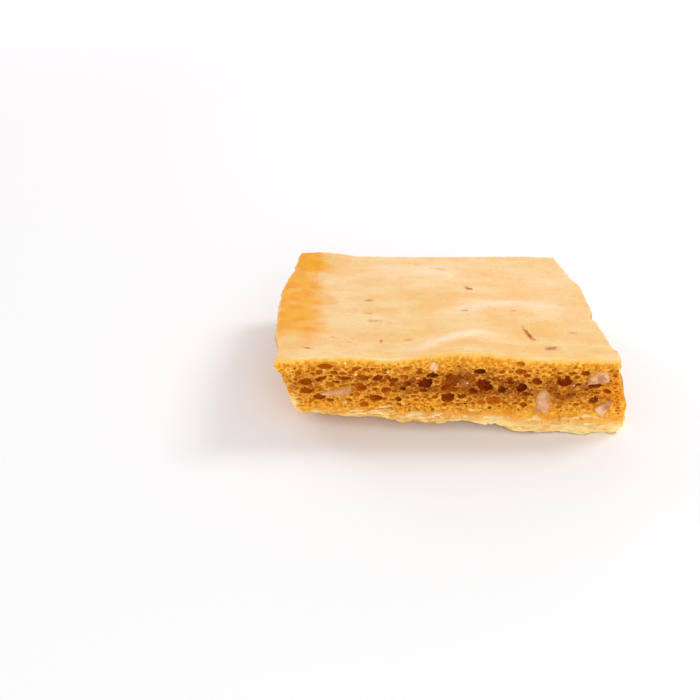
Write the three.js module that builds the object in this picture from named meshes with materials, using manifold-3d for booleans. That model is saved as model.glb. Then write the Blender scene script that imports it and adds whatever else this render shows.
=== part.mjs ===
// A broken slab of aerated nut brittle: golden honeycomb toffee under a smooth poured skin.
// Its four sides are snapped faces, open with flattened gas bubbles and studded with chopped almond.
// Millimetres, +Z up. The origin is the middle of the slab's footprint, on the table that it lies on.
import * as THREE from "three";
import { ConvexGeometry } from "three/addons/geometries/ConvexGeometry.js";
import { mergeVertices } from "three/addons/utils/BufferGeometryUtils.js";
import Module from "manifold-3d";

const wasm = await Module();
wasm.setup();

// Driving dimensions
const WIDTH = 92;
const DEPTH = 72;
const THICKNESS = 22.3;
const TOFFEE_COLOUR = 0xd9983f;

// How finely the slab is divided along its width, depth and thickness
const WIDTH_STEPS = 30;
const DEPTH_STEPS = 22;
const THICKNESS_STEPS = 8;

// Plan of the poured skin: each edge as [share of the edge, place across it]
const LEFT_EDGE = [
  [0, -47.5], [0.1, -47], [0.25, -48.3], [0.6, -48.3], [0.75, -46.8], [0.85, -45.1], [1, -44],
];
const RIGHT_EDGE = [
  [0, 44.1], [0.05, 45], [0.1, 43.9], [0.31, 43.2], [0.35, 41.9], [0.38, 42], [0.44, 43.3], [0.66, 43.6],
  [0.78, 41.8], [1, 39.9],
];
const FRONT_EDGE = [[0, -36.6], [0.1, -36.1], [0.3, -35.8], [0.5, -35.6], [0.75, -36.2], [1, -36.5]];
const BACK_EDGE = [[0, 36.4], [0.07, 37], [0.24, 35.2], [0.5, 34.8], [0.88, 35.2], [1, 34.6]];

// How far each snapped side stands out from its edge, as [share of the height, outward distance]
const LEFT_PROFILE = [
  [0, -6.6], [0.08, -5.2], [0.25, -4.2], [0.5, -3.4], [0.74, -2.4], [0.85, -0.6], [0.94, 0], [1, -0.8],
];
const RIGHT_PROFILE = [[0, 1.4], [0.1, 3.1], [0.4, 2.7], [0.62, 2], [0.8, 0.1], [0.93, 0.2], [1, -0.6]];
const FRONT_PROFILE = [[0, 0], [0.08, 0.3], [0.2, -0.5], [0.5, -0.9], [0.8, -0.5], [0.94, 0.1], [1, -0.7]];
const BACK_PROFILE = [[0, 0.6], [0.15, 1.3], [0.5, 0.4], [0.8, -0.2], [0.94, 0.1], [1, -0.7]];

// The ragged flake of bottom skin along the front, and the undercut at its left end
const FLAKE_REACH = [
  [0, 0], [0.45, 0], [0.64, 0.3], [0.7, 1.5], [0.77, 1.2], [0.82, 0.7], [0.89, 2], [0.93, 0.8], [1, 0.6],
];
const FLAKE_HEIGHT = 0.2;
const UNDERCUT_DEPTH = 3.6;
const UNDERCUT_REACH = 0.4;
const UNDERCUT_HEIGHT = 0.75;

// The underside is flat, and lifts off the table along its front: [share of the width, height]
const FRONT_LIFT = [
  [0, 4.2], [0.1, 3.8], [0.15, 3.1], [0.24, 3.5], [0.33, 2.4], [0.42, 2.2], [0.5, 2.7], [0.62, 1.7],
  [0.69, 0.5], [0.8, 0.3], [0.86, 0], [1, 0],
];
const FRONT_LIFT_DEPTH = 24;

// Swells and dips of the poured skin: [x, y, turn in degrees, reach along, reach back, reach forward, height]
const SWELLS = [
  [-2, -33.5, 38, 16, 7, 16, 0.9],
  [8.5, -31, -20, 12, 8.5, 14, 0.8],
  [-15, -38, 0, 7, 9, 9, -0.5],
  [-31, -36, 0, 9, 11, 11, 0.5],
  [17, -10, 6, 19, 8, 16, 0.9],
  [-38, 37, 0, 11, 10, 10, 0.8],
  [-8, 14, -4, 15, 9, 18, 0.5],
  [30, 22, 0, 14, 11, 11, -0.3],
];

// Unevenness of the snapped sides
const CRAG_DEPTH = 0.55;

// The largest bubbles of the front: [place along the side, above the table, width, height, sink]
const FRONT_BUBBLES = [
  [-33.9, 19.9, 4.3, 2.3, 0.05], [-28.7, 16.1, 3.2, 1.8, 0.25], [-24.1, 16.5, 4, 1.9, 0],
  [-24.4, 13.4, 3.4, 2.7, 0.05], [-38.8, 11.6, 3.5, 2.2, 0.25], [-17.6, 12.3, 2.8, 2.2, 0.1],
  [-7, 14.4, 4.3, 2.9, 0.3], [-5.4, 16.9, 3.7, 1.6, 0.25], [-1.3, 12.9, 3.7, 2.3, 0.1],
  [7.3, 18.3, 3.7, 2.1, 0.25], [9.3, 14, 4.4, 3.3, 0.3], [13.7, 12.6, 2.8, 2.3, 0.25],
  [11.6, 9.3, 4, 2.6, -0.2], [18.6, 13, 3.3, 2.7, 0.35], [17.6, 20.9, 2.9, 1.8, -0.1],
  [22.9, 15.4, 2.8, 2.6, 0.15], [30.2, 15.3, 3.9, 2.4, 0.3], [38.5, 13.8, 4, 2.2, 0.15],
];

// The other bubbles, drawn by chance over each side's middle band
const DRAWN_BUBBLES = { front: 32, right: 28, back: 34, left: 12 };
const BUBBLE_WIDTH = [1.9, 4.2];
const BUBBLE_FLATNESS = [0.48, 0.72];
const BUBBLE_BAND = [0.4, 0.82];
const BUBBLE_SINK = [-0.1, 0.35];
const BUBBLE_WALL = 0.4;
const BUBBLE_TRIES = 4000;
const BUBBLE_SEED = 1100;
const ROUND_BUBBLE_WIDTH = 3.6;

// Chopped almond in the front: [place along the side, above the table, long, short, thick, turn in degrees]
const FRONT_NUTS = [
  [-5.2, 19.9, 5.6, 5.6, 3.6, 80],
  [-30.6, 11, 9.4, 4.2, 3.6, 14],
  [25.4, 9.2, 11.6, 9, 4.6, -84],
  [39.4, 17.2, 5, 8.2, 4, -76],
  [42, 7.4, 6.8, 5.6, 4, -130],
  [1.9, 18, 4, 3, 3, -10],
  [2.9, 14.2, 3, 4.2, 3, 30],
];

// The other chips of almond, drawn by chance along each side
const DRAWN_NUTS = { front: 0, right: 5, back: 6, left: 5 };
const NUT_LONG = [3.8, 7.6];
const NUT_SHORT = [2.6, 3.6];
const NUT_THICK = 3.2;
const NUT_HEIGHT = [6, 14];
const NUT_TURN = [-45, 45];
const NUT_CORNERS = 8;
const NUT_RADIUS = [0.46, 0.66];
const NUT_TAPER = [0.25, 1.3];
const NUT_PROUD = 0.38;
const NUT_ROOM = 0.6;
const NUT_SEED = 500;

// Bubbles and chips keep this far from the ends of a side
const END_MARGIN = 4;

const lerp = THREE.MathUtils.lerp;
const smooth = (t) => THREE.MathUtils.smoothstep(t, 0, 1);

// A smooth line through knots of [place, value].
function through(knots, place) {
  const next = knots.findIndex((knot) => knot[0] >= place);
  if (next <= 0) return knots[next === 0 ? 0 : knots.length - 1][1];
  const [from, to] = [knots[next - 1], knots[next]];
  return lerp(from[1], to[1], smooth((place - from[0]) / (to[0] - from[0])));
}

function skinHeight(x, y) {
  let height = THICKNESS;
  for (const [swellX, swellY, turn, reach, reachBack, reachForward, rise] of SWELLS) {
    const away = new THREE.Vector2(x, y).rotateAround(
      new THREE.Vector2(swellX, swellY),
      -THREE.MathUtils.degToRad(turn),
    );
    const along = (away.x - swellX) / reach;
    const across = (away.y - swellY) / (away.y > swellY ? reachBack : reachForward);
    height += rise * Math.exp(-((along ** 2 + across ** 2) ** 2));
  }
  return height;
}

function undersideHeight(u, y) {
  return through(FRONT_LIFT, u) * (1 - smooth((y + DEPTH / 2) / FRONT_LIFT_DEPTH));
}

// Waves of a snapped face, by the distance along it and the height; none at the skin.
function crag(along, height, phase) {
  const wave =
    Math.sin(0.36 * along + 0.9 * Math.sin(0.35 * height + phase) + phase) +
    0.6 * Math.sin(0.93 * along - 0.55 * height + 2.1 * phase);
  return CRAG_DEPTH * wave * Math.sin(Math.PI * Math.min(1, height / THICKNESS));
}

function frontReach(u, w) {
  const flake = through(FLAKE_REACH, u) * (1 - smooth(w / FLAKE_HEIGHT));
  const undercut = UNDERCUT_DEPTH * (1 - smooth(u / UNDERCUT_REACH)) * (1 - smooth(w / UNDERCUT_HEIGHT));
  return through(FRONT_PROFILE, w) + flake - undercut + crag(u * WIDTH, w * THICKNESS, 0.4);
}

// A point of the slab by its shares of width u, depth v and height w.
function slabPoint(u, v, w) {
  const left = through(LEFT_EDGE, v) - through(LEFT_PROFILE, w) - crag(v * DEPTH, w * THICKNESS, 1.7);
  const right = through(RIGHT_EDGE, v) + through(RIGHT_PROFILE, w) + crag(v * DEPTH, w * THICKNESS, 2.9);
  const front = through(FRONT_EDGE, u) - frontReach(u, w);
  const back = through(BACK_EDGE, u) + through(BACK_PROFILE, w) + crag(u * WIDTH, w * THICKNESS, 4.1);
  const x = lerp(left, right, u);
  const y = lerp(front, back, v);
  return new THREE.Vector3(x, y, lerp(undersideHeight(u, y), skinHeight(x, y), w));
}

// The four snapped sides. Each is read along its own axis, from its left end as seen from outside.
const side = (x, y, at) => {
  const outward = new THREE.Vector3(x, y, 0);
  return { outward, axis: new THREE.Vector3(-y, x, 0), at };
};
const SIDES = {
  front: side(0, -1, (t, w) => slabPoint(t, 0, w)),
  right: side(1, 0, (t, w) => slabPoint(1, t, w)),
  back: side(0, 1, (t, w) => slabPoint(1 - t, 1, w)),
  left: side(-1, 0, (t, w) => slabPoint(0, 1 - t, w)),
};

// The two ends of a side at half its height, along its axis.
function sideEnds({ axis, at }) {
  return [at(0, 0.5).dot(axis), at(1, 0.5).dot(axis)];
}

// The point of a side at a place along its axis and a height above the table.
function sidePoint({ axis, at }, place, height) {
  const level = (t) => (height - at(t, 0).z) / (at(t, 1).z - at(t, 0).z);
  const share = (w) => (place - at(0, w).dot(axis)) / (at(1, w).dot(axis) - at(0, w).dot(axis));
  const w = level(share(height / THICKNESS));
  return at(share(w), w);
}

// A matrix that sets a shape on a side: its x along the side, y up and z outward.
function onSide(face, place, height, turn = 0) {
  const up = new THREE.Vector3(0, 0, 1);
  return new THREE.Matrix4()
    .makeBasis(face.axis, up, face.outward)
    .multiply(new THREE.Matrix4().makeRotationZ(turn))
    .setPosition(sidePoint(face, place, height));
}

// A repeatable stream of numbers from 0 to 1.
function draws(seed) {
  let state = seed;
  const next = () => {
    state = (state * 48271) % 2147483647;
    return state / 2147483647;
  };
  next();
  return next;
}

// The chips of one side: those given, then others spread along it.
function sideNuts(name, given) {
  const draw = draws(NUT_SEED + Object.keys(SIDES).indexOf(name));
  const [start, end] = sideEnds(SIDES[name]);
  const drawn = Array.from({ length: DRAWN_NUTS[name] }, (_, i) => {
    const share = (i + 0.2 + 0.6 * draw()) / DRAWN_NUTS[name];
    return [
      lerp(start + END_MARGIN, end - END_MARGIN, share),
      lerp(...NUT_HEIGHT, draw()),
      lerp(...NUT_LONG, draw()),
      lerp(...NUT_SHORT, draw()),
      NUT_THICK,
      lerp(...NUT_TURN, draw()),
    ];
  });
  return [...given, ...drawn].map(([place, height, width, tall, thick, turn]) => {
    return { place, height, width, tall, thick, turn };
  });
}

// The room that a chip takes up among the bubbles.
function nutRoom({ place, height, width, tall, turn }) {
  const angle = THREE.MathUtils.degToRad(turn);
  return {
    place,
    height,
    width: NUT_ROOM * Math.hypot(width * Math.cos(angle), tall * Math.sin(angle)),
    tall: NUT_ROOM * Math.hypot(width * Math.sin(angle), tall * Math.cos(angle)),
  };
}

// The bubbles of one side: those given, then others drawn where a wall of toffee is left around them.
function sideBubbles(name, given, nuts) {
  const draw = draws(BUBBLE_SEED + Object.keys(SIDES).indexOf(name));
  const [start, end] = sideEnds(SIDES[name]);
  const found = given.map(([place, height, width, tall, sink]) => ({ place, height, width, tall, sink }));
  const wanted = found.length + DRAWN_BUBBLES[name];
  const rooms = nuts.map(nutRoom);
  for (let tries = 0; tries < BUBBLE_TRIES && found.length < wanted; tries++) {
    const width = lerp(...BUBBLE_WIDTH, draw() ** 2);
    const tall = width * lerp(...BUBBLE_FLATNESS, draw());
    const place = lerp(start + END_MARGIN, end - END_MARGIN, draw());
    const height = THICKNESS * lerp(...BUBBLE_BAND, draw());
    const sink = lerp(...BUBBLE_SINK, draw());
    const apart = (other) =>
      Math.hypot(
        (place - other.place) / (width + other.width + 2 * BUBBLE_WALL),
        (height - other.height) / (tall + other.tall + 2 * BUBBLE_WALL),
      );
    if ([...found, ...rooms].every((other) => apart(other) > 0.5)) {
      found.push({ place, height, width, tall, sink });
    }
  }
  return found;
}

// A bubble by the width and height of its mouth. Its middle is sunk below the side by a share of its depth.
function bubbleGeometry(face, { place, height, width, tall, sink }) {
  const swell = 1 / Math.sqrt(1 - 4 * sink * sink);
  const deep = (swell * (width + tall)) / 2;
  return new THREE.IcosahedronGeometry(0.5, width < ROUND_BUBBLE_WIDTH ? 0 : 1)
    .scale(swell * width, swell * tall, deep)
    .translate(0, 0, -sink * deep)
    .applyMatrix4(onSide(face, place, height));
}

// An angular chip of almond, with its corners on a spiral, sunk in its side and a little proud of it.
function nutGeometry(face, { place, height, width, tall, thick, turn }, seed) {
  const draw = draws(seed);
  const corners = Array.from({ length: NUT_CORNERS }, (_, i) => {
    const level = 1 - (2 * i + 1) / NUT_CORNERS;
    const angle = 2.4 * i + draw();
    const round = Math.sqrt(1 - level * level) * lerp(...NUT_TAPER, (1 + level) / 2);
    const corner = new THREE.Vector3(level, round * Math.cos(angle), round * Math.sin(angle));
    return corner.multiplyScalar(lerp(...NUT_RADIUS, draw()));
  });
  return new ConvexGeometry(corners)
    .scale(width, tall, thick)
    .translate(0, 0, -thick * (0.5 - NUT_PROUD))
    .applyMatrix4(onSide(face, place, height, THREE.MathUtils.degToRad(turn)));
}

// The whole slab before its bubbles: a divided box, with each point moved to its place.
function slabGeometry() {
  const box = new THREE.BoxGeometry(1, 1, 1, WIDTH_STEPS, DEPTH_STEPS, THICKNESS_STEPS);
  const places = box.getAttribute("position");
  for (let i = 0; i < places.count; i++) {
    const moved = slabPoint(places.getX(i) + 0.5, places.getY(i) + 0.5, places.getZ(i) + 0.5);
    places.setXYZ(i, moved.x, moved.y, moved.z);
  }
  return box;
}

function toSolid(geometry) {
  const bare = geometry.clone();
  bare.deleteAttribute("normal");
  bare.deleteAttribute("uv");
  const merged = mergeVertices(bare, 1e-4);
  return new wasm.Manifold(
    new wasm.Mesh({
      numProp: 3,
      vertProperties: new Float32Array(merged.getAttribute("position").array),
      triVerts: new Uint32Array(merged.index.array),
    }),
  );
}

function toGeometry(solid) {
  const mesh = solid.getMesh();
  const geometry = new THREE.BufferGeometry();
  geometry.setAttribute("position", new THREE.BufferAttribute(mesh.vertProperties, 3));
  geometry.setIndex(new THREE.BufferAttribute(mesh.triVerts, 1));
  geometry.computeVertexNormals();
  return geometry;
}

// The outer body alone, without any hollow that a chip has closed.
const outerBody = (solid) => solid.decompose().reduce((a, b) => (a.volume() > b.volume() ? a : b));

function brittleSolid() {
  let solid = toSolid(slabGeometry());
  for (const [name, face] of Object.entries(SIDES)) {
    const nuts = sideNuts(name, name === "front" ? FRONT_NUTS : []);
    const bubbles = sideBubbles(name, name === "front" ? FRONT_BUBBLES : [], nuts);
    for (const bubble of bubbles) {
      solid = solid.subtract(toSolid(bubbleGeometry(face, bubble)));
    }
    nuts.forEach((nut, index) => {
      solid = solid.add(toSolid(nutGeometry(face, nut, NUT_SEED + 10 + index)));
    });
  }
  return outerBody(solid);
}

const brittle = new THREE.Mesh(
  toGeometry(brittleSolid()),
  new THREE.MeshStandardMaterial({ color: TOFFEE_COLOUR, roughness: 0.4, metalness: 0 }),
);
brittle.name = "brittle_slab";

const part = new THREE.Group();
part.add(brittle);

export default part;
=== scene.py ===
import math
from itertools import zip_longest
from types import SimpleNamespace

import bmesh
import bpy
import numpy as np
from mathutils import Matrix, Vector, noise
from mathutils.bvhtree import BVHTree


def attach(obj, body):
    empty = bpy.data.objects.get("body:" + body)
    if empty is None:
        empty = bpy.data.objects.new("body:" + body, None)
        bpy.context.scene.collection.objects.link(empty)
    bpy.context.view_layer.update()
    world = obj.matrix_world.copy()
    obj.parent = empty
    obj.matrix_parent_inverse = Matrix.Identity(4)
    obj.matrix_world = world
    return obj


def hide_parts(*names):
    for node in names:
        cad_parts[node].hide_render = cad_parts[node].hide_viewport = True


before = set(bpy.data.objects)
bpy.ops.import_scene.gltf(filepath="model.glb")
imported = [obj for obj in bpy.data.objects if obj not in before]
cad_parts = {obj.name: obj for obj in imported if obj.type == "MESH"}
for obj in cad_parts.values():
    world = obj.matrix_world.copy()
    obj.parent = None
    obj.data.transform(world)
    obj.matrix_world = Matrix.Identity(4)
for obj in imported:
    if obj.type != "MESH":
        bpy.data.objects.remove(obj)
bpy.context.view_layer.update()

# Toffee slab
# Sugar syrup foamed with soda and poured about 22 mm deep, so it set with a smooth skin above and below.
# The slab was snapped out of the sheet by hand: its four sides are broken foam, open with flattened bubbles.

# Sizes are in millimetres, and the finished mesh is scaled to metres
MM = 0.001
WIDTH = 92
DEPTH = 72
THICKNESS = 22.3
SKIN_STEPS = (52, 40)
SIDE_STEPS = 26

# Plan of the poured skin: each edge as (share of the edge, place across it)
LEFT_EDGE = ((0, -47.5), (0.1, -47), (0.25, -48.3), (0.6, -48.3), (0.75, -46.8), (0.85, -45.1), (1, -44))
RIGHT_EDGE = (
    (0, 44.1), (0.05, 45), (0.1, 43.9), (0.31, 43.2), (0.35, 41.9), (0.38, 42), (0.44, 43.3), (0.66, 43.6),
    (0.78, 41.8), (1, 39.9),
)
FRONT_EDGE = ((0, -36.6), (0.1, -36.1), (0.3, -35.8), (0.5, -35.6), (0.75, -36.2), (1, -36.5))
BACK_EDGE = ((0, 36.4), (0.07, 37), (0.24, 35.2), (0.5, 34.8), (0.88, 35.2), (1, 34.6))

# How far each snapped side stands out from its edge, as (share of the height, outward distance)
LEFT_PROFILE = (
    (0, -6.6), (0.08, -5.2), (0.25, -4.2), (0.5, -3.4), (0.74, -2.4), (0.85, -0.6), (0.94, 0), (1, -0.8),
)
RIGHT_PROFILE = ((0, 1.4), (0.1, 3.1), (0.4, 2.7), (0.62, 2), (0.8, 0.1), (0.93, 0.2), (1, -0.6))
FRONT_PROFILE = ((0, 0), (0.08, 0.3), (0.2, -0.5), (0.5, -0.9), (0.8, -0.5), (0.94, 0.1), (1, -0.7))
BACK_PROFILE = ((0, 0.6), (0.15, 1.3), (0.5, 0.4), (0.8, -0.2), (0.94, 0.1), (1, -0.7))

# The ragged flake of bottom skin along the front, the undercut at its left end and the underside's lift
FLAKE_REACH = (
    (0, 0), (0.45, 0), (0.64, 0.3), (0.7, 1.5), (0.77, 1.2), (0.82, 0.7), (0.89, 2), (0.93, 0.8), (1, 0.6),
)
FLAKE_HEIGHT = 0.2
UNDERCUT_DEPTH = 3.6
UNDERCUT_REACH = 0.4
UNDERCUT_HEIGHT = 0.75
FRONT_LIFT = (
    (0, 4.2), (0.1, 3.8), (0.15, 3.1), (0.24, 3.5), (0.33, 2.4), (0.42, 2.2), (0.5, 2.7), (0.62, 1.7),
    (0.69, 0.5), (0.8, 0.3), (0.86, 0), (1, 0),
)
FRONT_LIFT_DEPTH = 24

# Swells and dips of the poured skin: (x, y, turn in degrees, reach along, back and forward, height)
SWELLS = (
    (-2, -33.5, 38, 16, 7, 16, 0.9),
    (8.5, -31, -20, 12, 8.5, 14, 0.8),
    (-15, -38, 0, 7, 9, 9, -0.5),
    (-31, -36, 0, 9, 11, 11, 0.5),
    (17, -10, 6, 19, 8, 16, 0.9),
    (-38, 37, 0, 11, 10, 10, 0.8),
    (-8, 14, -4, 15, 9, 18, 0.5),
    (30, 22, 0, 14, 11, 11, -0.3),
)

# Relief of the snapped sides: how deep it is, and up to or from which share of the height it reaches
CRAG_DEPTH = 0.55
ROUGHNESS_DEPTH = 0.35
RAG_DEPTH = 0.7
RAG_HEIGHT = 0.09
LAYER_DEPTH = 0.8
LAYER_HEIGHT = 0.36
FRAY_DEPTH = 0.45
FRAY_LEVEL = 0.88

# How close the relief is: waves in radians a millimetre, and noise in cells a millimetre
LONG_WAVE = 0.36
WAVE_SWAY = 0.9
SWAY_UP = 0.35
SHORT_WAVE = 0.93
SHORT_WAVE_UP = 0.55
SHORT_WAVE_SHARE = 0.6
SHORT_WAVE_PHASE = 2.1
GRAIN_CELLS = ((1, 0.45), (0.6, 1.1))
RAG_CELLS = 0.7
LAYER_CELLS = (0.16, 1.3)
FRAY_CELLS = 0.55
FRAY_ROW = 5
SIDE_ROWS = 10
FRONT_PHASE = 0.4
LEFT_PHASE = 1.7
RIGHT_PHASE = 2.9
BACK_PHASE = 4.1

# Nicks in the underside's front edge: height, depth, and noises as (share, cells a millimetre, row)
NICK_HEIGHT = 1.2
NICK_DEPTH = 3
NICK_CELLS = ((1, 0.5, 7), (0.5, 1.3, 9))


def lerp(low, high, share):
    return low + (high - low) * share


def smooth(share):
    share = min(1, max(0, share))
    return share * share * (3 - 2 * share)


def through(knots, place):
    """A smooth line through knots of (place, value)."""
    for (start, low), (end, high) in zip(knots, knots[1:]):
        if place <= end:
            return lerp(low, high, smooth((place - start) / (end - start)))
    return knots[-1][1]


def skin_height(x, y):
    height = THICKNESS
    for swell_x, swell_y, turn, reach, reach_back, reach_forward, rise in SWELLS:
        away = Matrix.Rotation(-math.radians(turn), 2) @ Vector((x - swell_x, y - swell_y))
        across = away.y / (reach_back if away.y > 0 else reach_forward)
        distance = (away.x / reach) ** 2 + across**2
        height += rise * math.exp(-(distance**2))
    return height


def underside_height(u, y):
    """The lift of the underside along the front, with small nicks in its edge."""
    lift = through(FRONT_LIFT, u) * (1 - smooth((y + DEPTH / 2) / FRONT_LIFT_DEPTH))
    nick = sum(share * abs(noise.noise((cells * u * WIDTH, 0, row))) for share, cells, row in NICK_CELLS)
    return lift + NICK_HEIGHT * nick * (1 - smooth((y + DEPTH / 2) / NICK_DEPTH))


def crag(along, height, phase):
    """Waves and roughness of a snapped side, which fade out at the skins, and its ragged edges."""
    row = SIDE_ROWS * phase
    wave = math.sin(LONG_WAVE * along + WAVE_SWAY * math.sin(SWAY_UP * height + phase) + phase)
    short_wave = math.sin(SHORT_WAVE * along - SHORT_WAVE_UP * height + SHORT_WAVE_PHASE * phase)
    wave += SHORT_WAVE_SHARE * short_wave
    fade = max(0, math.sin(math.pi * min(1, max(0, height / THICKNESS))))
    grain = sum(share * noise.noise((cells * along, cells * height, row)) for share, cells in GRAIN_CELLS)
    rag = noise.noise((RAG_CELLS * along, 0, row)) * (1 - smooth(height / (RAG_HEIGHT * THICKNESS)))
    layer = noise.noise((LAYER_CELLS[0] * along, LAYER_CELLS[1] * height, row))
    layer *= 1 - smooth(height / (LAYER_HEIGHT * THICKNESS))
    fray = noise.noise((FRAY_CELLS * along, FRAY_ROW, row))
    fray *= smooth((height / THICKNESS - FRAY_LEVEL) / (1 - FRAY_LEVEL))
    relief = CRAG_DEPTH * wave * fade + ROUGHNESS_DEPTH * grain * math.sqrt(fade)
    return relief + RAG_DEPTH * rag + LAYER_DEPTH * layer + FRAY_DEPTH * fray


def front_reach(u, w):
    """How far the front stands out, with its flake of bottom skin and its undercut."""
    flake = through(FLAKE_REACH, u) * (1 - smooth(w / FLAKE_HEIGHT))
    undercut = UNDERCUT_DEPTH * (1 - smooth(u / UNDERCUT_REACH)) * (1 - smooth(w / UNDERCUT_HEIGHT))
    return through(FRONT_PROFILE, w) + flake - undercut + crag(u * WIDTH, w * THICKNESS, FRONT_PHASE)


def slab_point(u, v, w):
    """A point of the slab by its shares of width u, depth v and height w."""
    left = through(LEFT_EDGE, v) - through(LEFT_PROFILE, w) - crag(v * DEPTH, w * THICKNESS, LEFT_PHASE)
    right = through(RIGHT_EDGE, v) + through(RIGHT_PROFILE, w) + crag(v * DEPTH, w * THICKNESS, RIGHT_PHASE)
    front = through(FRONT_EDGE, u) - front_reach(u, w)
    back = through(BACK_EDGE, u) + through(BACK_PROFILE, w) + crag(u * WIDTH, w * THICKNESS, BACK_PHASE)
    x = lerp(left, right, u)
    y = lerp(front, back, v)
    return Vector((x, y, lerp(underside_height(u, y), skin_height(x, y), w)))


# The four snapped sides: outward direction, axis along the side, points by share of length and height
SIDES = (
    (Vector((0, -1, 0)), Vector((1, 0, 0)), lambda t, w: slab_point(t, 0, w)),
    (Vector((1, 0, 0)), Vector((0, 1, 0)), lambda t, w: slab_point(1, t, w)),
    (Vector((0, 1, 0)), Vector((-1, 0, 0)), lambda t, w: slab_point(1 - t, 1, w)),
    (Vector((-1, 0, 0)), Vector((0, -1, 0)), lambda t, w: slab_point(0, 1 - t, w)),
)


def side_ends(side):
    _, axis, at = SIDES[side]
    return at(0, 0.5).dot(axis), at(1, 0.5).dot(axis)


def side_axes(side, spot, turn):
    """A matrix that sets a shape at a spot of a side: its x along the side, y up and z outward."""
    outward, axis, _ = SIDES[side]
    axes = Matrix((axis, (0, 0, 1), outward)).transposed().to_4x4()
    return Matrix.Translation(spot) @ axes @ Matrix.Rotation(turn, 4, "Z")


def on_side(side, place, height, turn=0):
    """The same at a place along a side and a height above the table."""
    _, axis, at = SIDES[side]

    def share(w):
        start, end = at(0, w).dot(axis), at(1, w).dot(axis)
        return (place - start) / (end - start)

    t = share(height / THICKNESS)
    w = (height - at(t, 0).z) / (at(t, 1).z - at(t, 0).z)
    return side_axes(side, at(share(w), w), turn)


DRAW_FACTOR = 48271
DRAW_RANGE = 2147483647


def draws(seed):
    """A repeatable stream of numbers from 0 to 1."""
    state = seed * DRAW_FACTOR % DRAW_RANGE
    while True:
        state = state * DRAW_FACTOR % DRAW_RANGE
        yield state / DRAW_RANGE


# The largest bubbles of the front: (place along the side, above the table, width, height, sink)
FRONT_BUBBLES = (
    (-33.9, 19.9, 4.3, 2.3, 0.05), (-28.7, 16.1, 3.2, 1.8, 0.25), (-24.1, 16.5, 4, 1.9, 0),
    (-24.4, 13.4, 3.4, 2.7, 0.05), (-38.8, 11.6, 3.5, 2.2, 0.25), (-17.6, 12.3, 2.8, 2.2, 0.1),
    (-7, 14.4, 4.3, 2.9, 0.3), (-5.4, 16.9, 3.7, 1.6, 0.25), (-1.3, 12.9, 3.7, 2.3, 0.1),
    (7.3, 18.3, 3.7, 2.1, 0.25), (9.3, 14, 4.4, 3.3, 0.3), (13.7, 12.6, 2.8, 2.3, 0.25),
    (11.6, 9.3, 4, 2.6, -0.2), (18.6, 13, 3.3, 2.7, 0.35), (17.6, 20.9, 2.9, 1.8, -0.1),
    (22.9, 15.4, 2.8, 2.6, 0.15), (30.2, 15.3, 3.9, 2.4, 0.3), (38.5, 13.8, 4, 2.2, 0.15),
)

# Grades of drawn bubbles, from large to fine: how many on each side, their width, height as a share of it,
# band of heights on the side, sink, the wall left between two, how near they come to a side's ends, the seed
# of their draws, and how finely they are rounded
LARGE = SimpleNamespace(
    counts=(32, 28, 34, 12), width=(1.9, 4.2), flatness=(0.48, 0.72), band=(0.4, 0.82), sink=(-0.1, 0.35),
    wall=0.4, margin=4, seed=1100, rounding=3,
)
MEDIUM = SimpleNamespace(
    counts=(330, 120, 130, 80), width=(1.3, 3), flatness=(0.5, 0.8), band=(0.34, 0.86), sink=(-0.25, 0.2),
    wall=0.03, margin=2, seed=2200, rounding=2,
)
SMALL = SimpleNamespace(
    counts=(560, 230, 280, 150), width=(0.7, 1.5), flatness=(0.55, 0.9), band=(0.28, 0.9), sink=(-0.25, 0.2),
    wall=0.03, margin=1, seed=3300, rounding=1,
)
FINE = SimpleNamespace(
    counts=(120, 80, 90, 50), width=(0.5, 0.9), flatness=(0.6, 0.95), band=(0.1, 0.93), sink=(-0.2, 0.2),
    wall=0.02, margin=0.6, seed=4400, rounding=1,
)
BUBBLE_TRIES = 4000
OVERLAP = 0.6
CLEAR = 0.5
WELL_CLEAR = 0.75
BUBBLE_UNEVEN = 0.11
BUBBLE_CELLS = 2.6
BUBBLE_SHIFT = 3.7

# Chopped almond in the front: (place along the side, above the table, long, short, thick, turn in degrees)
FRONT_NUTS = (
    (-5.2, 19.9, 5.6, 5.6, 3.6, 80),
    (-30.6, 11, 9.4, 4.2, 3.6, 14),
    (25.4, 9.2, 11.6, 9, 4.6, -84),
    (39.4, 17.2, 5, 8.2, 4, -76),
    (42, 7.4, 6.8, 5.6, 4, -130),
    (1.9, 18, 4, 3, 3, -10),
    (2.9, 14.2, 3, 4.2, 3, 30),
)
DRAWN_NUTS = (0, 5, 6, 5)
NUT_LONG = (3.8, 7.6)
NUT_SHORT = (2.6, 3.6)
NUT_THICK = 3.2
NUT_HEIGHT = (6, 14)
NUT_TURN = (-45, 45)
NUT_SEED = 500
NUT_MARGIN = 4
NUT_ROOM = 0.6
NUT_START = 0.2
NUT_STRAY = 0.6


def side_nuts(side):
    """The chips of one side: those given, then others spread along it."""
    draw = draws(NUT_SEED + side)
    start, end = side_ends(side)
    found = list(FRONT_NUTS) if side == 0 else []
    for i in range(DRAWN_NUTS[side]):
        share = (i + NUT_START + NUT_STRAY * next(draw)) / DRAWN_NUTS[side]
        place = lerp(start + NUT_MARGIN, end - NUT_MARGIN, share)
        height = lerp(*NUT_HEIGHT, next(draw))
        long = lerp(*NUT_LONG, next(draw))
        short = lerp(*NUT_SHORT, next(draw))
        found.append((place, height, long, short, NUT_THICK, lerp(*NUT_TURN, next(draw))))
    return found


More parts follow.
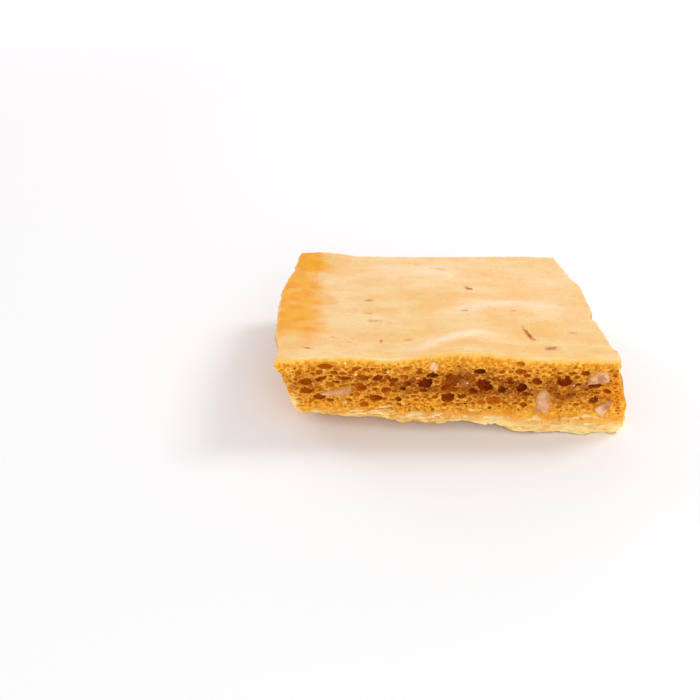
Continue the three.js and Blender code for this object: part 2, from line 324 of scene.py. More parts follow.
def nut_room(nut):
    """The room that a chip takes up among the bubbles."""
    place, height, long, short, _, turn = nut
    turned = math.radians(turn)
    width = NUT_ROOM * math.hypot(long * math.cos(turned), short * math.sin(turned))
    tall = NUT_ROOM * math.hypot(long * math.sin(turned), short * math.cos(turned))
    return place, height, width, tall


def apart(bubble, others, wall):
    """How far a bubble lies from each of the others: above CLEAR it leaves a wall between."""
    place, height, width, tall = bubble[:4]
    near = np.array([other[:4] for other in others]).reshape(-1, 4)
    return np.hypot(
        (place - near[:, 0]) / (width + near[:, 2] + 2 * wall),
        (height - near[:, 1]) / (tall + near[:, 3] + 2 * wall),
    )


def drawn_bubbles(side, grade, given, taken):
    """Bubbles of one grade on one side. They keep apart, but run into the rims of those taken before."""
    draw = draws(grade.seed + side)
    start, end = side_ends(side)
    most = len(given) + grade.counts[side]
    blocked = [(place, height, OVERLAP * width, OVERLAP * tall) for place, height, width, tall, _ in taken]
    blocked += [nut_room(nut) for nut in nuts[side]]
    found = list(given)
    for _ in range(BUBBLE_TRIES):
        width = lerp(*grade.width, next(draw) ** 2)
        tall = width * lerp(*grade.flatness, next(draw))
        place = lerp(start + grade.margin, end - grade.margin, next(draw))
        height = THICKNESS * lerp(*grade.band, next(draw))
        bubble = (place, height, width, tall, lerp(*grade.sink, next(draw)))
        if len(found) < most and (apart(bubble, found + blocked, grade.wall) > CLEAR).all():
            found.append(bubble)
    return found


def spread_out(bubbles):
    """Groups in which no bubble touches another, so that each group can be cut at once."""
    groups = []
    for bubble in bubbles:
        group = next((g for g in groups if (apart(bubble, g, 0) > WELL_CLEAR).all()), None)
        if group is None:
            groups.append([bubble])
        else:
            group.append(bubble)
    return groups


def mesh_object(name, bm):
    mesh = bpy.data.meshes.new(name)
    bm.to_mesh(mesh)
    bm.free()
    made = bpy.data.objects.new(name, mesh)
    bpy.context.scene.collection.objects.link(made)
    return made


def divided_slab():
    """A box of side 1 about the origin: even skins, and sides divided twice as finely along them."""
    bm = bmesh.new()
    bmesh.ops.create_cube(bm, size=1)
    for axis, count in enumerate((*SKIN_STEPS, SIDE_STEPS)):
        along = [e for e in bm.edges if abs(e.verts[0].co[axis] - e.verts[1].co[axis]) > 0.5]
        bmesh.ops.subdivide_edges(bm, edges=along, cuts=count - 1, use_grid_fill=True)
    walls = {e for f in bm.faces if abs(f.normal.z) < 0.5 for e in f.edges}
    level = [e for e in walls if abs(e.verts[0].co.z - e.verts[1].co.z) < 1e-6]
    bmesh.ops.subdivide_edges(bm, edges=level, cuts=1, use_grid_fill=True)
    return bm


# The rows of the sides lie closer together near the skins
slab_bm = divided_slab()
for vert in slab_bm.verts:
    level = 0.5 - 0.5 * math.cos(math.pi * (vert.co.z + 0.5))
    vert.co = slab_point(vert.co.x + 0.5, vert.co.y + 0.5, level)
bmesh.ops.triangulate(slab_bm, faces=slab_bm.faces)
bmesh.ops.recalc_face_normals(slab_bm, faces=slab_bm.faces)
uncut = BVHTree.FromBMesh(slab_bm)
slab = mesh_object("toffee_slab", slab_bm)


def bubble_cutter(bubbles, rounding):
    """One mesh of rounded, uneven bubbles from (side, (place, height, width, tall, sink)).
    Width and height are those of a bubble's mouth."""
    ball = bmesh.new()
    bmesh.ops.create_icosphere(ball, subdivisions=rounding, radius=0.5)
    corners = [v.co.copy() for v in ball.verts]
    faces = np.array([[v.index for v in f.verts] for f in ball.faces])
    ball.free()
    points = []
    for count, (side, (place, height, width, tall, sink)) in enumerate(bubbles):
        swell = 1 / math.sqrt(1 - 4 * sink * sink)
        deep = swell * (width + tall) / 2
        at = on_side(side, place, height) @ Matrix.Translation((0, 0, -sink * deep))
        at = at @ Matrix.Diagonal((swell * width, swell * tall, deep, 1))
        shift = Vector((BUBBLE_SHIFT * count, 0, 0))
        uneven = [1 + BUBBLE_UNEVEN * noise.noise(BUBBLE_CELLS * corner + shift) for corner in corners]
        points += [at @ (corner * stretch) for corner, stretch in zip(corners, uneven)]
    mesh = bpy.data.meshes.new("bubbles")
    step = len(corners) * np.arange(len(bubbles))
    mesh.from_pydata(points, [], (faces[None] + step[:, None, None]).reshape(-1, 3).tolist())
    made = bpy.data.objects.new("bubbles", mesh)
    bpy.context.scene.collection.objects.link(made)
    return made


def cut_away(body, cutter):
    """Cuts one mesh out of another, and removes the cutter."""
    modifier = body.modifiers.new("cut", "BOOLEAN")
    modifier.operation = "DIFFERENCE"
    modifier.solver = "MANIFOLD"
    modifier.object = cutter
    cut = bpy.data.meshes.new_from_object(body.evaluated_get(bpy.context.evaluated_depsgraph_get()))
    body.modifiers.clear()
    body.data = cut
    bpy.data.meshes.remove(cutter.data)


nuts = [side_nuts(side) for side in range(len(SIDES))]
bubbles = [[] for side in SIDES]
for grade in (LARGE, MEDIUM, SMALL, FINE):
    cuts = []
    for side in range(len(SIDES)):
        given = FRONT_BUBBLES if grade is LARGE and side == 0 else ()
        found = drawn_bubbles(side, grade, given, bubbles[side])
        bubbles[side] += found
        cuts.append([[(side, bubble) for bubble in group] for group in spread_out(found)])
    for groups in zip_longest(*cuts, fillvalue=[]):
        cut_away(slab, bubble_cutter(sum(groups, []), grade.rounding))


def drop_scraps(bm):
    """Removes the scraps that overlapping bubbles have cut loose."""
    left = set(bm.verts)
    pieces = []
    while left:
        piece = {left.pop()}
        edge = list(piece)
        while edge:
            near = [e.other_vert(vert) for vert in edge for e in vert.link_edges]
            edge = list(set(near) - piece)
            piece.update(edge)
        left -= piece
        pieces.append(piece)
    pieces.sort(key=len)
    for scrap in pieces[:-1]:
        bmesh.ops.delete(bm, geom=list(scrap), context="VERTS")


# Edges that turn more than this, in degrees, stay sharp; pit is the depth below the uncut side, by which the
# material paints shade into the bubbles, and level the share of the height, for the material to read
RIM_ANGLE = 42
slab_bm = bmesh.new()
slab_bm.from_mesh(slab.data)
drop_scraps(slab_bm)
pit_layer = slab_bm.verts.layers.float.new("pit")
level_layer = slab_bm.verts.layers.float.new("level")
for vert in slab_bm.verts:
    x, y, z = vert.co
    low = underside_height((x + WIDTH / 2) / WIDTH, y)
    vert[pit_layer] = uncut.find_nearest(vert.co)[3]
    vert[level_layer] = (z - low) / (skin_height(x, y) - low)
bmesh.ops.scale(slab_bm, vec=(MM, MM, MM), verts=slab_bm.verts)
slab_bm.to_mesh(slab.data)
slab_bm.free()
slab.data.shade_smooth()
slab.data.set_sharp_from_angle(angle=math.radians(RIM_ANGLE))


def srgb(red, green, blue):
    """A linear colour from the usual 0 to 255 numbers."""
    return tuple(((c / 255 + 0.055) / 1.055) ** 2.4 for c in (red, green, blue)) + (1,)


def add_node(tree, kind, inputs=None, **settings):
    """A node with its settings, and its inputs set to values or linked to other sockets."""
    made = tree.nodes.new(kind)
    for name, value in settings.items():
        setattr(made, name, value)
    for name, value in (inputs or {}).items():
        if isinstance(value, bpy.types.NodeSocket):
            tree.links.new(value, made.inputs[name])
        else:
            made.inputs[name].default_value = value
    return made


def new_material(name):
    """An empty material and its node tree."""
    material = bpy.data.materials.new(name)
    material.use_nodes = True
    material.node_tree.nodes.clear()
    return material, material.node_tree


def end_in_shader(tree, inputs):
    """Ends a material in a Principled shader with these inputs."""
    shader = add_node(tree, "ShaderNodeBsdfPrincipled", inputs)
    add_node(tree, "ShaderNodeOutputMaterial", {"Surface": shader.outputs["BSDF"]})


def mix(tree, factor, first, second):
    """A colour mixed from two. The node's sockets go by number, because their names repeat."""
    return add_node(tree, "ShaderNodeMix", {0: factor, 6: first, 7: second}, data_type="RGBA").outputs[2]


def remap(tree, value, low, high, to_low=0.0, to_high=1.0):
    """A value eased from one span to another, and held at the ends."""
    inputs = {"Value": value, "From Min": low, "From Max": high, "To Min": to_low, "To Max": to_high}
    return add_node(tree, "ShaderNodeMapRange", inputs, interpolation_type="SMOOTHSTEP").outputs["Result"]


def over(tree, place, span, to_low=0.0, to_high=1.0):
    """The same for a place in metres along a span in millimetres."""
    start, end = span
    return remap(tree, place, start * MM, end * MM, to_low, to_high)


def math_node(tree, operation, first, second):
    return add_node(tree, "ShaderNodeMath", {0: first, 1: second}, operation=operation).outputs[0]


def times(tree, first, second):
    return math_node(tree, "MULTIPLY", first, second)


def plus(tree, first, second):
    return math_node(tree, "ADD", first, second)


def minus(tree, first, second):
    return math_node(tree, "SUBTRACT", first, second)


def noise_at(tree, vector, scale, detail=3.0, roughness=0.55):
    inputs = {"Vector": vector, "Scale": scale, "Detail": detail, "Roughness": roughness}
    return add_node(tree, "ShaderNodeTexNoise", inputs).outputs["Fac"]


def stretched(tree, vector, scale):
    return add_node(tree, "ShaderNodeMapping", {"Vector": vector, "Scale": scale}).outputs["Vector"]


def new_group(name, inputs, outputs):
    """An empty shader node group with sockets named by kind, and the sockets that it is given."""
    group = bpy.data.node_groups.new(name, "ShaderNodeTree")
    for way, sockets in (("INPUT", inputs), ("OUTPUT", outputs)):
        for socket, kind in sockets.items():
            group.interface.new_socket(socket, in_out=way, socket_type="NodeSocket" + kind)
    return group, add_node(group, "NodeGroupInput").outputs


FACE_GOLD = srgb(224, 142, 22)
FACE_PALE = srgb(252, 188, 70)
# Amber, band brown and deep brown are painted shade in the pores, the band and the bubbles; the band is
# partly a browner toffee too
AMBER = srgb(196, 103, 2)
BAND_BROWN = srgb(148, 67, 0)
DEEP_BROWN = srgb(158, 62, 2)
# A painted glow, as of light shining through the thin end of the front
PAINTED_GLOW = srgb(246, 152, 18)
# A painted glint
PAINTED_GLINT = srgb(255, 240, 205)
SKIN_AMBER = srgb(248, 195, 114)
SKIN_PALE = srgb(253, 214, 151)
SKIN_ORANGE = srgb(246, 176, 8)
SKIN_DEEP = srgb(242, 156, 0)
SKIN_EDGE = srgb(253, 202, 92)
FLECK_TAN = srgb(242, 176, 84)
FLECK_BROWN = srgb(178, 88, 10)
FLAKE_GOLD = srgb(248, 186, 84)
FLAKE_CREAM = srgb(255, 230, 166)
UNDERSIDE_TAN = srgb(230, 166, 82)
UNDERSIDE_PALE = srgb(242, 188, 108)

# How close each pattern of the toffee is, in cells a metre
BROAD = 70
COARSE = 220
FINE_GRAIN = 900
PORES = 1300
PAINTED_GLINT_CELLS = 700
SKIN_LAYERS = 160
MARBLE = 60
STREAKS = 330
VEINS = 120
WRINKLES = 300

# Where a colour sets in and where it is full: y of the front, x and y of the orange patch in the skin, and
# x along the front for its pale left lip, its painted glow, its brown band of partly painted shade, the
# painted shade of its deep bubbles and its bottom skin
FRONT_SPAN = (-24, -34)
ORANGE_SPAN = (-22, -31)
ORANGE_BACK_SPAN = (-32, -14)
LIP_SPAN = (-40.5, -42.5)
PAINTED_GLOW_SPAN = (36, 44)
BAND_SPAN = (-24, -4)
DEEP_SPAN = (-30, -8)
LAYERS_SPAN = (-4, 14)

# Shares of the height: the middle of the brown band, the skin's edge, and where skin and underside set in
BAND_LEVEL = 0.56
EDGE_LEVEL = (0.99, 0.965)
SKIN_LEVEL = (0.955, 1.01)
UNDERSIDE_LEVEL = (0.12, 0.06)

# The share of cells that hold no painted glint, how ragged a fleck is, and between which distances its edge
# fades
GLINT_FREE = 0.96
FLECK_RAGGED = 3.0
FLECK_FADE = (2.9, 1.7)

# Bits of almond skin just under the poured skin: (x, y, long, wide, turn in degrees, strength)
FLECKS = (
    (8.7, 9.2, 3.2, 1.6, -25, 0.75),
    (1.6, 23.8, 5, 1.2, -12, 0.5),
    (21.9, -22.3, 7.5, 1.4, -72, 0.75),
    (27.1, -30, 4, 2.2, 10, 0.6),
    (6, -7.7, 2.4, 0.9, 0, 0.5),
    (19.8, -8.3, 2.2, 1, 0, 0.4),
    (34.7, -2.9, 2.4, 1, -10, 0.45),
    (-21.7, 0.5, 3.4, 1.5, 12, 0.5),
    (-21.8, -8.3, 2.4, 1, 0, 0.5),
    (-20.7, -12.9, 4.6, 1.8, 0, 0.4),
    (-18.8, -25.9, 1, 2, 0, 0.6),
    (-32, -23.5, 3.6, 1.2, -20, 0.4),
    (-27.6, -26.5, 2.2, 0.9, 5, 0.4),
    (-38.5, -30, 4.4, 1, -30, 0.55),
    (-11.5, -24.8, 2.6, 1.2, 10, 0.4),
    (34.5, -21, 2.4, 1, 0, 0.45),
)


def fleck_mask(tree, place, uneven):
    """A fleck's strength at its middle, and nought beyond its ragged edge."""
    mask = 0.0
    for x, y, long, wide, turn, strength in FLECKS:
        inputs = {
            "Vector": place,
            "Location": (x * MM, y * MM, THICKNESS * MM),
            "Rotation": (0, 0, math.radians(turn)),
            "Scale": (long / 2 * MM, wide / 2 * MM, THICKNESS * MM),
        }
        within = add_node(tree, "ShaderNodeMapping", inputs, vector_type="TEXTURE").outputs["Vector"]
        distance = add_node(tree, "ShaderNodeVectorMath", {0: within}, operation="LENGTH").outputs["Value"]
        distance = plus(tree, distance, times(tree, uneven, FLECK_RAGGED))
        mask = math_node(tree, "MAXIMUM", mask, remap(tree, distance, *FLECK_FADE, 0.0, strength))
    return mask


def layered_skin_group():
    """The bottom skin where it split: its layers as a value, and their colour from gold to cream."""
    inputs = {"Place": "Vector", "Stretch": "Vector", "Scale": "Float"}
    group, given = new_group("layered_skin", inputs, {"Layers": "Float", "Colour": "Color"})
    layers = noise_at(group, stretched(group, given["Place"], given["Stretch"]), given["Scale"], 4.0)
    colour = mix(group, remap(group, layers, 0.32, 0.55), FLAKE_GOLD, FLAKE_CREAM)
    add_node(group, "NodeGroupOutput", {"Layers": layers, "Colour": colour})
    return group


layered_skin = layered_skin_group()


def toffee_readings(tree):
    """Where a point of the toffee lies, its shape there, and the noises that its colours share."""
    place = add_node(tree, "ShaderNodeTexCoord").outputs["Object"]
    x, y, _ = add_node(tree, "ShaderNodeSeparateXYZ", {"Vector": place}).outputs
    shape = add_node(tree, "ShaderNodeNewGeometry").outputs
    at = SimpleNamespace(place=place, x=x, y=y, pointed=shape["Pointiness"])
    at.facing = add_node(tree, "ShaderNodeSeparateXYZ", {"Vector": shape["Normal"]}).outputs["Z"]
    at.pit = add_node(tree, "ShaderNodeAttribute", attribute_name="pit").outputs["Fac"]
    at.level = add_node(tree, "ShaderNodeAttribute", attribute_name="level").outputs["Fac"]
    at.broad = noise_at(tree, place, BROAD)
    at.coarse = noise_at(tree, place, COARSE)
    at.fine = noise_at(tree, place, FINE_GRAIN)
    cells = add_node(tree, "ShaderNodeTexVoronoi", {"Vector": place, "Scale": PORES}, feature="SMOOTH_F1")
    at.pore = remap(tree, cells.outputs["Distance"], 0.1, 0.5, 1.0, 0.0)
    at.front = over(tree, y, FRONT_SPAN)
    inputs = {"Place": place, "Stretch": (1, 1, 5), "Scale": SKIN_LAYERS}
    at.layers, at.flake = add_node(tree, "ShaderNodeGroup", inputs, node_tree=layered_skin).outputs
    at.ragged = plus(tree, at.level, times(tree, at.layers, 0.2))
    at.ragged = plus(tree, at.ragged, over(tree, x, LAYERS_SPAN, 0.07, -0.02))
    return at


def foam_colour(tree, at):
    """Gold foam with painted shade in its tiny pores, and over its lowest part the seams and cream edge of
    the bottom skin.
    """
    foam = mix(tree, remap(tree, at.fine, 0.35, 0.65), FACE_GOLD, FACE_PALE)
    # Painted shade in the tiny pores, amber at their middles
    foam = mix(tree, times(tree, at.pore, 0.6), foam, AMBER)
    seam = mix(tree, remap(tree, at.layers, 0.4, 0.56), FACE_GOLD, FLAKE_GOLD)
    foam = mix(tree, remap(tree, at.ragged, 0.38, 0.24, 0.0, 0.6), foam, seam)
    foam = mix(tree, remap(tree, at.ragged, 0.14, 0.26, 0.9, 0.0), foam, at.flake)
    lip = times(tree, at.front, over(tree, at.x, LIP_SPAN))
    lip = times(tree, lip, remap(tree, at.ragged, 0.6, 0.35, 0.0, 0.8))
    return mix(tree, lip, foam, FLAKE_CREAM)


def face_colour(tree, at):
    """The snapped side: foam with a brown band at mid height that is partly painted shade, painted shade in
    the bubbles, painted highlights on the rims, painted glints and a painted glow at the front's right end.
    """
    middle = math_node(tree, "ABSOLUTE", minus(tree, at.level, BAND_LEVEL), 0.0)
    middle = remap(tree, minus(tree, middle, times(tree, at.broad, 0.3)), 0.1, -0.1)
    # A painted glow, as of light shining through the front's thin right end at mid height
    painted_glow = times(tree, at.front, over(tree, at.x, PAINTED_GLOW_SPAN, 0.0, 0.9))
    painted_glow = times(tree, painted_glow, middle)
    face = mix(tree, painted_glow, foam_colour(tree, at), PAINTED_GLOW)
    # The band's brown is partly a browner toffee and partly painted shade of its deep bubbles, strongest on
    # the front's right half and kept off the painted glow
    shade = times(tree, middle, remap(tree, at.coarse, 0.35, 0.6, 0.3, 1.0))
    dark = times(tree, at.front, over(tree, at.x, BAND_SPAN))
    shade = times(tree, shade, remap(tree, dark, 0.0, 1.0, 0.5, 1.0))
    shade = times(tree, shade, minus(tree, 1.0, painted_glow))
    face = mix(tree, shade, face, BAND_BROWN)
    # Painted shade down in the bubbles: amber, then deep brown further in and at mid height, lighter towards
    # the left
    face = mix(tree, remap(tree, at.pit, 0.04, 0.7), face, AMBER)
    # Painted highlights on the sharp rims of the bubbles
    face = mix(tree, remap(tree, at.pointed, 0.52, 0.6, 0.0, 0.6), face, FACE_PALE)
    deep = remap(tree, plus(tree, at.pit, times(tree, middle, 0.6)), 0.8, 2.2)
    deep = times(tree, deep, over(tree, at.x, DEEP_SPAN, 0.3, 1.0))
    face = mix(tree, deep, face, DEEP_BROWN)
    # Painted glints, in a few cells of a fine pattern
    painted_glints = add_node(tree, "ShaderNodeTexVoronoi", {"Vector": at.place, "Scale": PAINTED_GLINT_CELLS}).outputs
    chance = add_node(tree, "ShaderNodeSeparateColor", {"Color": painted_glints["Color"]}).outputs["Red"]
    chosen = math_node(tree, "GREATER_THAN", chance, GLINT_FREE)
    return mix(tree, times(tree, chosen, remap(tree, painted_glints["Distance"], 0.28, 0.16)), face, PAINTED_GLINT)


def skin_colours(tree, at):
    """The poured skin, marbled and yellower at its edge, and where it is orange or shows almond skin."""
    marble = noise_at(tree, stretched(tree, at.place, (1.0, 2.4, 1.0)), MARBLE, 6.0, 0.62)
    skin = mix(tree, remap(tree, marble, 0.36, 0.64), SKIN_AMBER, SKIN_PALE)
    # The orange patch is partly the skin's own deeper orange, and partly painted shade and reflection of a
    # neighbouring piece that is not built
    left = plus(tree, at.x, times(tree, at.broad, 0.02))
    orange = times(tree, over(tree, left, ORANGE_SPAN), over(tree, at.y, ORANGE_BACK_SPAN))
    orange = times(tree, orange, remap(tree, marble, 0.6, 0.45, 0.8, 1.0))
    skin = mix(tree, orange, skin, SKIN_ORANGE)
    skin = mix(tree, times(tree, orange, remap(tree, at.coarse, 0.42, 0.62)), skin, SKIN_DEEP)
    streaks = noise_at(tree, stretched(tree, at.place, (1.0, 4.0, 1.0)), STREAKS, 4.0)
    skin = mix(tree, remap(tree, streaks, 0.56, 0.74, 0.0, 0.55), skin, FLECK_TAN)
    ridge = noise_at(tree, stretched(tree, at.place, (1.0, 2.2, 1.0)), VEINS, 2.0)
    ridge = math_node(tree, "ABSOLUTE", minus(tree, ridge, 0.5), 0.0)
    veins = times(tree, remap(tree, ridge, 0.016, 0.0), remap(tree, at.broad, 0.48, 0.6, 0.0, 0.7))
    skin = mix(tree, veins, skin, FLECK_TAN)
    flecks = times(tree, fleck_mask(tree, at.place, at.fine), remap(tree, streaks, 0.36, 0.56, 0.9, 1.6))
    skin = mix(tree, flecks, skin, FLECK_BROWN)
    skin = mix(tree, remap(tree, at.level, *EDGE_LEVEL), skin, SKIN_EDGE)
    return skin, orange, flecks


def toffee_material():
    """Satin skin above, matt foam at the sides and a wrinkled skin below, all letting light in a little."""
    material, tree = new_material("aerated_toffee")
    at = toffee_readings(tree)
    skin, orange, flecks = skin_colours(tree, at)
    skinned = remap(tree, plus(tree, at.level, times(tree, at.fine, 0.06)), *SKIN_LEVEL)
    colour = mix(tree, skinned, face_colour(tree, at), skin)

    wrinkles = noise_at(tree, stretched(tree, at.place, (1.0, 0.5, 1.0)), WRINKLES, 5.0, 0.65)
    below = mix(tree, remap(tree, wrinkles, 0.35, 0.65), UNDERSIDE_TAN, UNDERSIDE_PALE)
    under = times(tree, remap(tree, at.facing, -0.6, -0.9), remap(tree, at.level, *UNDERSIDE_LEVEL))
    colour = mix(tree, under, colour, below)

    shine = remap(tree, at.pit, 0.2, 1.0, 0.5, 0.36)
    shine = mix(tree, skinned, shine, remap(tree, at.coarse, 0.3, 0.7, 0.25, 0.33))
    matt = plus(tree, orange, flecks)
    gloss = remap(tree, minus(tree, skinned, matt), 0.0, 1.0, 0.15, 0.5)
    relief = times(tree, at.pore, remap(tree, at.ragged, 0.2, 0.36))
    relief = minus(tree, times(tree, at.fine, 0.5), relief)
    relief = mix(tree, skinned, relief, times(tree, at.coarse, 0.3))
    relief = mix(tree, under, relief, wrinkles)
    bump = add_node(tree, "ShaderNodeBump", {"Height": relief, "Strength": 0.7, "Distance": 0.0004})
    end_in_shader(tree, {
        "Base Color": colour,
        "Roughness": shine,
        "Normal": bump.outputs["Normal"],
        "IOR": 1.5,
        "Specular IOR Level": gloss,
        "Subsurface Weight": 0.5,
        "Subsurface Radius": (1.8, 0.9, 0.3),
        "Subsurface Scale": 0.001,
    })
    return material


slab.data.materials.clear()
slab.data.materials.append(toffee_material())
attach(slab, "root")
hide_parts("brittle_slab")

# Skin flakes
# Thin scales of the bottom skin that split off its edge when the slab was snapped, and still hang on it.
# They are the same toffee, pale because they are thin, and lie in layers along the lower edge of each side.
FLAKE_COUNTS = (120, 50, 60, 50)
FLAKE_LONG = (2, 10)
FLAKE_THICK = (0.4, 0.9)
FLAKE_DEEP = 2.4
FLAKE_PROUD = (0.2, 0.9)
FLAKE_LEVEL = (0.03, 0.17)
FLAKE_TURN = (-0.1, 0.1)
FLAKE_MARGIN = 2
FLAKE_SEED = 700
SHARD_CORNERS = 8
SHARD_RADIUS = (0.46, 0.66)
SHARD_TURN = 2.4
FLAKE_LAYERS = 240
FLAKE_GRAIN = 1400


def shard(bm, at, taper, draw):
    """An angular shard about a matrix whose axes are its sizes: the hull of corners on a spiral along x."""
    corners = []
    for i in range(SHARD_CORNERS):
        level = 1 - (2 * i + 1) / SHARD_CORNERS
        angle = SHARD_TURN * i + next(draw)
        ring = math.sqrt(1 - level * level) * lerp(*taper, (1 + level) / 2)
        corner = Vector((level, ring * math.cos(angle), ring * math.sin(angle)))
        corners.append(bm.verts.new(at @ (corner * lerp(*SHARD_RADIUS, next(draw)))))
    bmesh.ops.convex_hull(bm, input=corners)


def side_flakes(bm, side):
    """Flakes strewn along the lower edge of one side, most of them short and low."""
    draw = draws(FLAKE_SEED + side)
    start, end = side_ends(side)
    _, _, point = SIDES[side]
    for _ in range(FLAKE_COUNTS[side]):
        long = lerp(*FLAKE_LONG, next(draw) ** 2)
        margin = (FLAKE_MARGIN + long / 2) / (end - start)
        spot = point(lerp(margin, 1 - margin, next(draw)), lerp(*FLAKE_LEVEL, next(draw) ** 2))
        thick = lerp(*FLAKE_THICK, next(draw))
        at = side_axes(side, spot, lerp(*FLAKE_TURN, next(draw)))
        at = at @ Matrix.Translation((0, thick / 2, lerp(*FLAKE_PROUD, next(draw)) - FLAKE_DEEP / 2))
        shard(bm, at @ Matrix.Diagonal((long, thick, FLAKE_DEEP, 1)), (1, 1), draw)


def fine_grain_group():
    """Fine grain of a broken surface: an uneven roughness and a bumped normal."""
    inputs = {"Place": "Vector", "Stretch": "Vector", "Scale": "Float"}
    group, given = new_group("fine_grain", inputs, {"Roughness": "Float", "Normal": "Vector"})
    grain = noise_at(group, stretched(group, given["Place"], given["Stretch"]), given["Scale"], 4.0)
    bump = add_node(group, "ShaderNodeBump", {"Height": grain, "Strength": 0.4, "Distance": 0.0002})
    outputs = {"Roughness": remap(group, grain, 0.3, 0.7, 0.4, 0.55), "Normal": bump.outputs["Normal"]}
    add_node(group, "NodeGroupOutput", outputs)
    return group


fine_grain = fine_grain_group()


def flake_material():
    """The layered bottom skin, with a fine grain where it broke."""
    material, tree = new_material("toffee_flake")
    place = add_node(tree, "ShaderNodeTexCoord").outputs["Object"]
    inputs = {"Place": place, "Stretch": (1, 1, 3), "Scale": FLAKE_LAYERS}
    skin = add_node(tree, "ShaderNodeGroup", inputs, node_tree=layered_skin).outputs
    inputs = {"Place": place, "Stretch": (1, 1, 1), "Scale": FLAKE_GRAIN}
    grain = add_node(tree, "ShaderNodeGroup", inputs, node_tree=fine_grain).outputs
    end_in_shader(tree, {
        "Base Color": skin["Colour"],
        "Roughness": grain["Roughness"],
        "Normal": grain["Normal"],
    })
    return material


def finished_piece(name, bm, material):
    """A piece from a mesh in millimetres, riding on the slab's body."""
    bmesh.ops.scale(bm, vec=(MM, MM, MM), verts=bm.verts)
    bmesh.ops.recalc_face_normals(bm, faces=bm.faces)
    made = mesh_object(name, bm)
    made.data.materials.append(material)
    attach(made, "root")
    return made


flakes_bm = bmesh.new()
for side in range(len(SIDES)):
    side_flakes(flakes_bm, side)
finished_piece("skin_flakes", flakes_bm, flake_material())

# Almond chips
# Roasted almond, chopped by hand and stirred into the syrup, so the chips are set in the foam.
# Where the slab was snapped they stand a little proud of the side, pale inside and brown on the skin.
NUT_PROUD = 0.38
NUT_TAPER = (0.25, 1.3)
CHIP_SEED = NUT_SEED + 10
CHIP_DIVISIONS = 5
CHIP_ROUGHNESS = 0.2
CHIP_ANGLE = 40


def almond_chip(bm, side, nut, seed):
    """An angular chip, sunk in its side and a little proud of it."""
    place, height, long, short, thick, turn = nut
    at = on_side(side, place, height, math.radians(turn))
    at = at @ Matrix.Translation((0, 0, -thick * (0.5 - NUT_PROUD)))
    shard(bm, at @ Matrix.Diagonal((long, short, thick, 1)), NUT_TAPER, draws(seed))


ALMOND_IVORY = srgb(246, 198, 150)
ALMOND_PINK = srgb(196, 132, 90)
ALMOND_TAN = srgb(178, 106, 46)
ALMOND_SKIN = srgb(142, 76, 26)
ROAST = 50
PATCHES = 420
ALMOND_GRAIN = 900


def almond_material(name, first, second):
    """Patchy almond, some of it browned, with a film of toffee where it dips into the side."""
    material, tree = new_material(name)
    place = add_node(tree, "ShaderNodeTexCoord").outputs["Object"]
    proud = add_node(tree, "ShaderNodeAttribute", attribute_name="proud").outputs["Fac"]
    patch = noise_at(tree, place, PATCHES)
    colour = mix(tree, remap(tree, patch, 0.4, 0.58), first, second)
    roast = remap(tree, noise_at(tree, place, ROAST), 0.42, 0.58, 0.0, 0.5)
    colour = mix(tree, roast, colour, ALMOND_TAN)
    film = remap(tree, plus(tree, proud, times(tree, patch, 1.6)), 0.6, 1.3, 0.9, 0.0)
    colour = mix(tree, film, colour, FACE_GOLD)
    inputs = {"Place": place, "Stretch": (1, 1, 2.5), "Scale": ALMOND_GRAIN}
    grain = add_node(tree, "ShaderNodeGroup", inputs, node_tree=fine_grain).outputs
    end_in_shader(tree, {
        "Base Color": colour,
        "Roughness": grain["Roughness"],
        "Normal": grain["Normal"],
        "Subsurface Weight": 0.3,
        "Subsurface Radius": (1.6, 1.0, 0.6),
        "Subsurface Scale": 0.001,
    })
    return material


def chip_piece(name, picked, material):
    """The picked chips, as (side, number on it), in one mesh, with worn edges and rough faces."""
    bm = bmesh.new()
    for side, index in picked:
        almond_chip(bm, side, nuts[side][index], CHIP_SEED + index)
    bmesh.ops.subdivide_edges(bm, edges=bm.edges, cuts=CHIP_DIVISIONS, use_grid_fill=True)
    bmesh.ops.smooth_vert(bm, verts=bm.verts, factor=0.5, use_axis_x=True, use_axis_y=True, use_axis_z=True)
    bm.normal_update()
    proud_layer = bm.verts.layers.float.new("proud")
    for vert in bm.verts:
        vert.co += vert.normal * CHIP_ROUGHNESS * noise.noise(vert.co)
        spot, outward, _, _ = uncut.find_nearest(vert.co)
        vert[proud_layer] = (vert.co - spot).dot(outward)
    chips = finished_piece(name, bm, material)
    chips.data.shade_smooth()
    chips.data.set_sharp_from_angle(angle=math.radians(CHIP_ANGLE))


# Chips that show their browned skin; all the others show the pale inside
SKIN_OUT = ((0, 5), (0, 6), (1, 2), (2, 3))
every_chip = [(side, index) for side in range(len(SIDES)) for index in range(len(nuts[side]))]
pale_chips = [chip for chip in every_chip if chip not in SKIN_OUT]
chip_piece("almond_chips", pale_chips, almond_material("almond_inside", ALMOND_PINK, ALMOND_IVORY))
chip_piece("browned_chips", SKIN_OUT, almond_material("almond_skin", ALMOND_SKIN, ALMOND_TAN))

# Floor, light and camera
# A plain white floor under soft studio light. The back light and the front fill are kept out of reflections,
# and a pinkish light behind shows in reflections alone. The camera looks down with a 50 mm lens.
FLOOR_REACH = 6
FLOOR_WHITE = (0.97, 0.97, 0.97, 1)
SURROUND_STRENGTH = 0.58
CAMERA_PLACE = (-27.3, -261.4, 144.95)
CAMERA_DOWN = 28

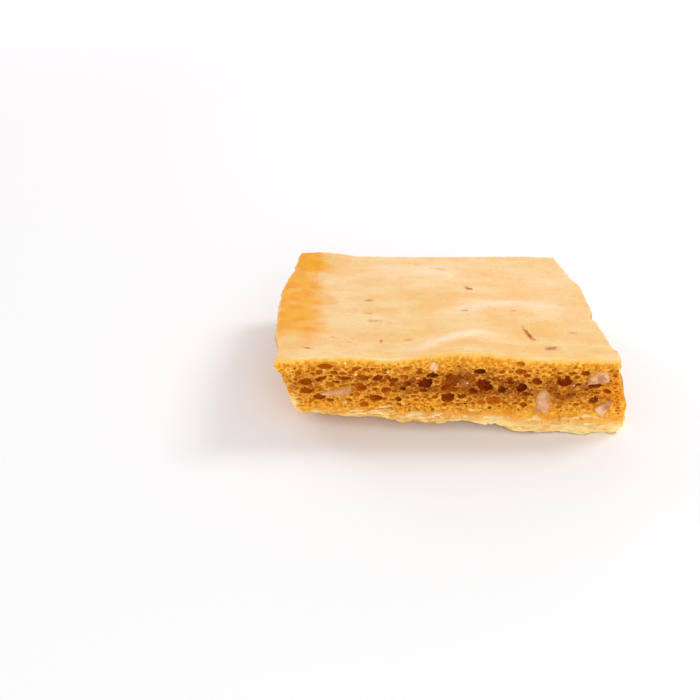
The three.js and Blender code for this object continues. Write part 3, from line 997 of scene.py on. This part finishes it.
floor_bm = bmesh.new()
bmesh.ops.create_grid(floor_bm, x_segments=1, y_segments=1, size=FLOOR_REACH)
floor = mesh_object("floor", floor_bm)
floor_material, floor_tree = new_material("white_floor")
end_in_shader(floor_tree, {"Base Color": FLOOR_WHITE, "Roughness": 0.7})
floor.data.materials.append(floor_material)

world = bpy.data.worlds.new("studio")
world.use_nodes = True
surround = world.node_tree.nodes["Background"]
surround.inputs["Color"].default_value = (1, 1, 1, 1)
surround.inputs["Strength"].default_value = SURROUND_STRENGTH
bpy.context.scene.world = world
bpy.context.scene.view_settings.view_transform = "Standard"


def soft_light(name, place, target, size, power, colour=(1, 1, 1)):
    """A rectangular light of (width, height) that faces its target; places and sizes are in metres."""
    light = bpy.data.lights.new(name, "AREA")
    light.shape = "RECTANGLE"
    light.size, light.size_y = size
    light.energy = power
    light.color = colour
    lamp = bpy.data.objects.new(name, light)
    lamp.location = place
    lamp.rotation_euler = (Vector(target) - Vector(place)).to_track_quat("-Z", "Y").to_euler()
    bpy.context.scene.collection.objects.link(lamp)
    return lamp


# The sheen stands in front of the back light, because two lights in one place hide each other
SLAB_MIDDLE = (0, 0, 0.01)
SLAB_TOP = (0, 0, 0.02)
soft_light("key", place=(0.55, 0.3, 0.6), target=SLAB_MIDDLE, size=(0.3, 0.3), power=2.6)
back = soft_light("back", (-0.1, 1.4, 0.24), SLAB_TOP, size=(2.4, 0.4), power=7.4, colour=(1, 0.91, 0.93))
back.visible_glossy = False
sheen = soft_light("sheen", (-0.1, 1.3, 0.22), SLAB_TOP, size=(2.2, 0.36), power=5, colour=(1, 0.62, 0.93))
sheen.visible_diffuse = False
soft_light("left", place=(-1.2, 1.2, 0.6), target=SLAB_TOP, size=(0.8, 0.8), power=5)
fill = soft_light("fill", place=(0.1, -0.8, 0.32), target=SLAB_MIDDLE, size=(0.6, 0.5), power=3.2)
fill.visible_glossy = False

camera = bpy.data.objects.new("camera", bpy.data.cameras.new("camera"))
camera.data.lens = 50
camera.data.sensor_width = 36
camera.data.clip_start = 0.01
camera.location = Vector(CAMERA_PLACE) * MM
camera.rotation_euler = (math.radians(90 - CAMERA_DOWN), 0, 0)
bpy.context.scene.collection.objects.link(camera)
bpy.context.scene.camera = camera
